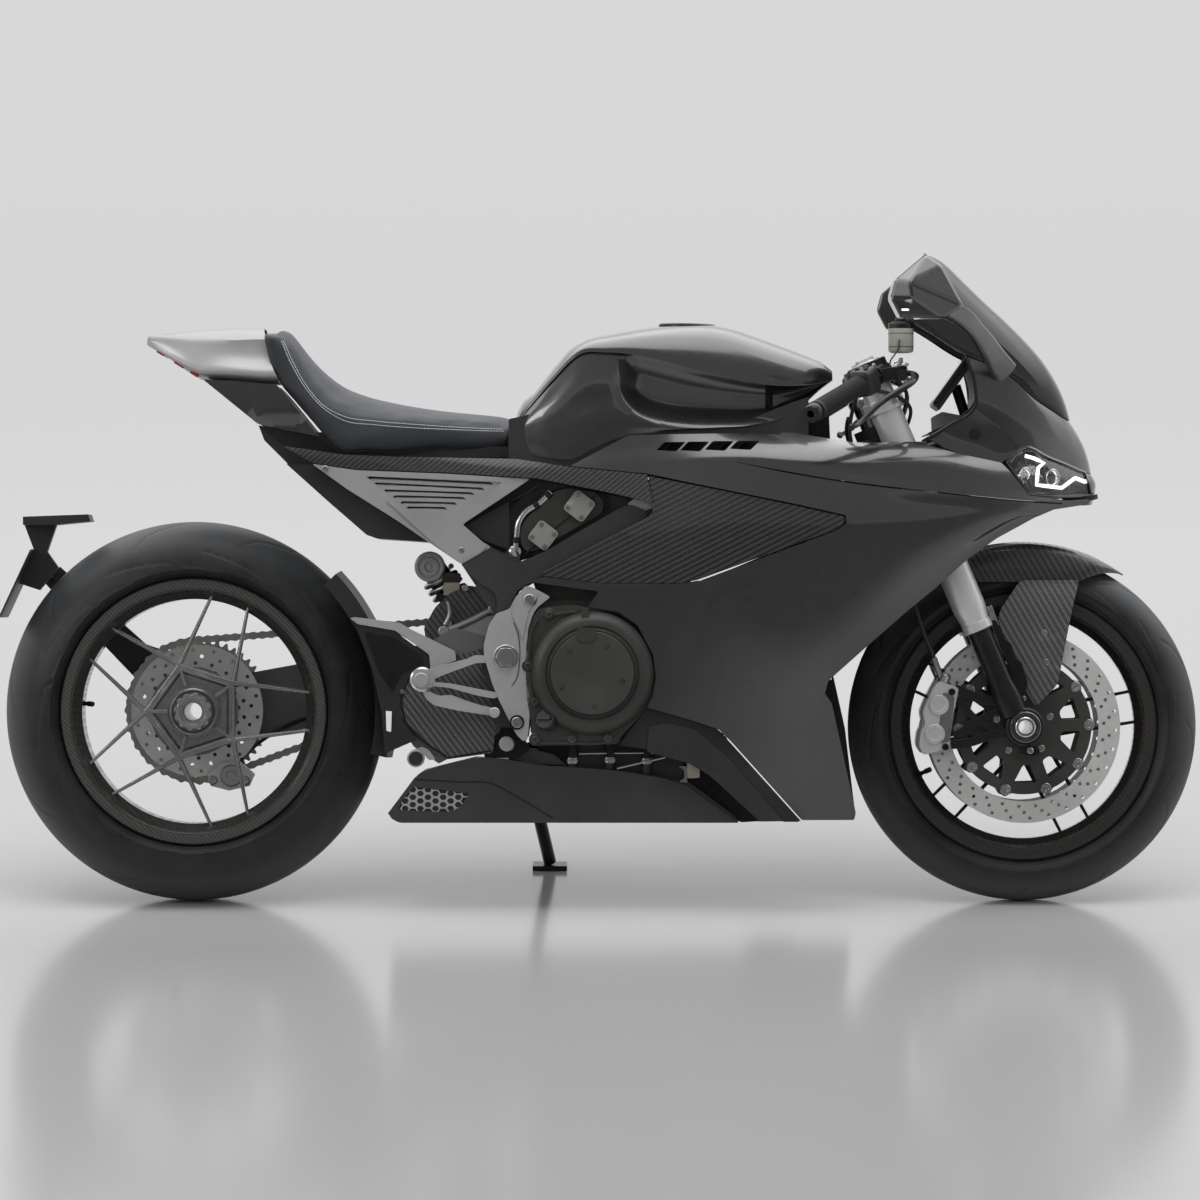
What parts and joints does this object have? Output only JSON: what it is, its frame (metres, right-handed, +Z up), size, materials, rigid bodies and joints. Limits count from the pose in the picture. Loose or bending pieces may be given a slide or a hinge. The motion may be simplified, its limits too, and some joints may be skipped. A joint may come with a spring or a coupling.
{
  "type": "sport bike",
  "caption": "Road sport bike with a full fairing, single-sided swingarm, upside-down fork and side stand, leaning as it parks.",
  "frame": {"origin": "centre of the bounding box, on the ground", "axes": "+X forward along the bike, +Y to its left, +Z up; the bike leans 10 degrees to +Y on its side stand"},
  "size_m": [2.057, 0.7908, 1.149],
  "materials": {
    "gloss_black": "gloss lacquer",
    "carbon": "woven carbon under lacquer",
    "seat_leather": "matt leather",
    "satin_silver": "satin paint",
    "dark_plastic": "matt",
    "dark_metal": "satin",
    "engine_cast": "cast, satin",
    "bare_alloy": "satin",
    "steel": "brushed",
    "black_metal": "satin black",
    "tyre": "rubber",
    "plate_white": "blank",
    "smoke_plastic": "translucent",
    "smoke_glass": "smoked",
    "lamp_lens": "clear lens"
  },
  "bodies": {
    "chassis": {"carbon_side": "carbon", "carbon_band": "carbon", "fairing": "gloss_black", "tank": "gloss_black", "seat": "seat_leather", "tail_cowl": "satin_silver", "tail_under": "gloss_black", "undertray": "dark_plastic", "subframe": "satin_silver", "main_frame": "dark_metal", "engine_block": "engine_cast", "clutch_cover": "engine_cast", "stator_cover": "engine_cast", "sump": "engine_cast", "radiator": "dark_metal", "exhaust_box": "dark_metal", "ducts": "dark_plastic", "footrests": "bare_alloy", "pedals": "bare_alloy", "swingarm": "carbon", "pivot_pin": "bare_alloy", "hugger": "dark_plastic", "shock": "bare_alloy", "chain": "steel", "front_sprocket": "steel", "rear_caliper": "bare_alloy", "plate_hanger": "dark_plastic", "plate_holder": "dark_plastic", "number_plate": "plate_white", "nose_cowl": "gloss_black", "windscreen": "smoke_glass", "headlamps": "lamp_lens", "cockpit_stay": "black_metal", "dash": "dark_plastic", "mirrors": "gloss_black", "stand_bracket": "black_metal"},
    "steering": {"fork_uppers": "bare_alloy", "fork_lowers": "black_metal", "front_axle": "bare_alloy", "front_mudguard": "carbon", "front_calipers": "bare_alloy", "handlebars": "black_metal", "levers": "black_metal", "reservoir": "smoke_plastic"},
    "front_wheel": {"front_wheel": "black_metal", "front_tyre": "tyre", "front_discs": "steel"},
    "rear_wheel": {"rear_wheel": "carbon", "rear_tyre": "tyre", "rear_disc": "steel", "rear_sprocket": "steel", "rear_nut": "bare_alloy"},
    "side_stand": {"side_stand": "black_metal"}
  },
  "joints": [
    {"name": "steering_turn", "type": "hinge", "parent": "chassis", "child": "steering", "pos_m": [0.5002, -0.04959, 0.73586], "axis": [-0.3904, 0.1598, 0.9067], "range_deg": [-24, 24]},
    {"name": "front_wheel_spin", "type": "hinge", "parent": "steering", "child": "front_wheel", "pos_m": [0.72852, -0.12707, 0.29635], "axis": [-0.0001, 0.9848, -0.1736], "continuous": true},
    {"name": "rear_wheel_spin", "type": "hinge", "parent": "chassis", "child": "rear_wheel", "pos_m": [-0.69346, -0.12255, 0.32255], "axis": [-0.0001, 0.9848, -0.1736], "continuous": true},
    {"name": "side_stand_fold", "type": "hinge", "parent": "chassis", "child": "side_stand", "pos_m": [-0.12751, 0.00039, 0.21331], "axis": [0.0882, 0.904, 0.4183], "range_deg": [0, 96]}
  ]
}
